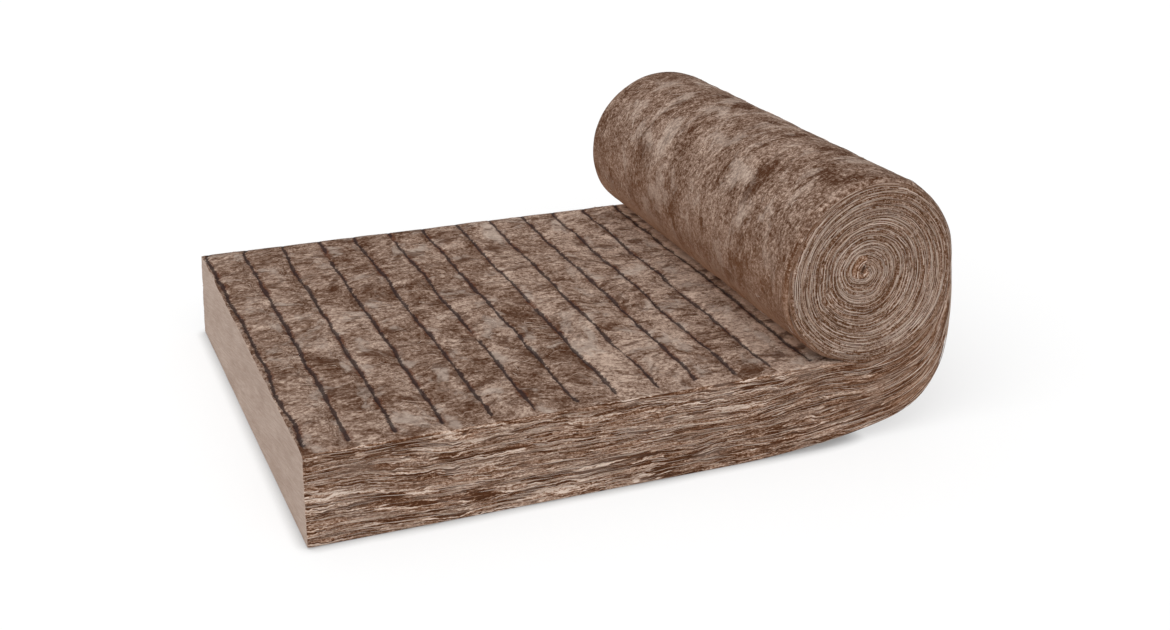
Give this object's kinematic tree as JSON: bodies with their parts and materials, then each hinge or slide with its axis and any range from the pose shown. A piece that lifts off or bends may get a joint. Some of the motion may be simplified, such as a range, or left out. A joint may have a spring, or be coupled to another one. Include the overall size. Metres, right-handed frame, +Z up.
{
  "type": "insulation roll",
  "caption": "Mineral-wool insulation mat, laid flat at its cut end and still wound into a roll at the other, with cutting guide lines pressed across its top.",
  "frame": {"origin": "on the floor, under the middle of the whole piece's box", "axes": "+X along the mat from its cut end to the roll, +Y across the mat, +Z up"},
  "size_m": [1.586, 1.2, 0.646],
  "materials": {
    "wool": "matt, fibrous brown mineral wool"
  },
  "bodies": {
    "root": {"wool_mat": "wool"}
  },
  "joints": []
}
